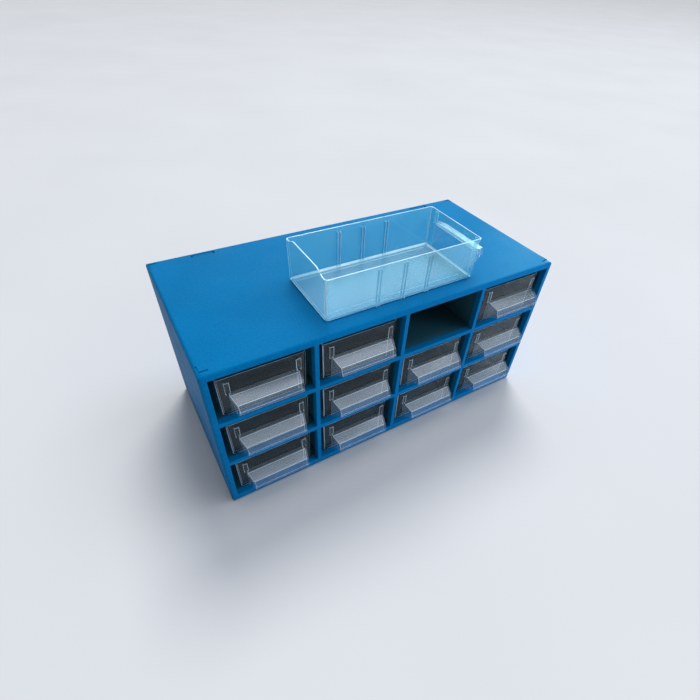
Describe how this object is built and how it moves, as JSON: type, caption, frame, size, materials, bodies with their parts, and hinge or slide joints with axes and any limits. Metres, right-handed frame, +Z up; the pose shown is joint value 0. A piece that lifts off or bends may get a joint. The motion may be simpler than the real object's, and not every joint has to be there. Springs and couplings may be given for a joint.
{
  "type": "parts organizer",
  "caption": "Table-top small-parts cabinet: blue casing and front frame, clear pull-out drawers with hooded finger pulls, one of them lying on the top.",
  "frame": {"origin": "middle of the casing's underside", "axes": "+X to the right along the longest side, +Y from the drawer fronts to the back, +Z up"},
  "size_m": [0.3, 0.1505, 0.1757],
  "materials": {
    "blue_plastic": "fine sandy texture, satin",
    "dark_plastic": "matte",
    "clear_plastic": "clear and glossy"
  },
  "bodies": {
    "casing": {"front_frame": "blue_plastic", "casing_shell": "blue_plastic", "back_panel": "blue_plastic", "partition_1": "dark_plastic", "partition_2": "dark_plastic", "partition_3": "dark_plastic", "shelf_1": "dark_plastic", "shelf_2": "dark_plastic", "shelf_3": "dark_plastic"},
    "drawer_r1c1": {"drawer_r1c1": "clear_plastic"},
    "drawer_r1c2": {"drawer_r1c2": "clear_plastic"},
    "drawer_r1c3": {"drawer_r1c3": "clear_plastic"},
    "drawer_r1c4": {"drawer_r1c4": "clear_plastic"},
    "drawer_r2c1": {"drawer_r2c1": "clear_plastic"},
    "drawer_r2c2": {"drawer_r2c2": "clear_plastic"},
    "drawer_r2c3": {"drawer_r2c3": "clear_plastic"},
    "drawer_r2c4": {"drawer_r2c4": "clear_plastic"},
    "drawer_r3c1": {"drawer_r3c1": "clear_plastic"},
    "drawer_r3c2": {"drawer_r3c2": "clear_plastic"},
    "drawer_r3c4": {"drawer_r3c4": "clear_plastic"},
    "loose_drawer": {"loose_drawer": "clear_plastic"}
  },
  "joints": [
    {"name": "slide_r1c1", "type": "slide", "parent": "casing", "child": "drawer_r1c1", "axis": [0, -1, 0], "range_m": [0, 0.115]},
    {"name": "slide_r1c2", "type": "slide", "parent": "casing", "child": "drawer_r1c2", "axis": [0, -1, 0], "range_m": [0, 0.115]},
    {"name": "slide_r1c3", "type": "slide", "parent": "casing", "child": "drawer_r1c3", "axis": [0, -1, 0], "range_m": [0, 0.115]},
    {"name": "slide_r1c4", "type": "slide", "parent": "casing", "child": "drawer_r1c4", "axis": [0, -1, 0], "range_m": [0, 0.115]},
    {"name": "slide_r2c1", "type": "slide", "parent": "casing", "child": "drawer_r2c1", "axis": [0, -1, 0], "range_m": [0, 0.115]},
    {"name": "slide_r2c2", "type": "slide", "parent": "casing", "child": "drawer_r2c2", "axis": [0, -1, 0], "range_m": [0, 0.115]},
    {"name": "slide_r2c3", "type": "slide", "parent": "casing", "child": "drawer_r2c3", "axis": [0, -1, 0], "range_m": [0, 0.115]},
    {"name": "slide_r2c4", "type": "slide", "parent": "casing", "child": "drawer_r2c4", "axis": [0, -1, 0], "range_m": [0, 0.115]},
    {"name": "slide_r3c1", "type": "slide", "parent": "casing", "child": "drawer_r3c1", "axis": [0, -1, 0], "range_m": [0, 0.115]},
    {"name": "slide_r3c2", "type": "slide", "parent": "casing", "child": "drawer_r3c2", "axis": [0, -1, 0], "range_m": [0, 0.115]},
    {"name": "slide_r3c4", "type": "slide", "parent": "casing", "child": "drawer_r3c4", "axis": [0, -1, 0], "range_m": [0, 0.115]},
    {"name": "loose_drawer_lift", "type": "slide", "parent": "casing", "child": "loose_drawer", "axis": [0, 0, 1], "range_m": [0, 0.15]}
  ]
}
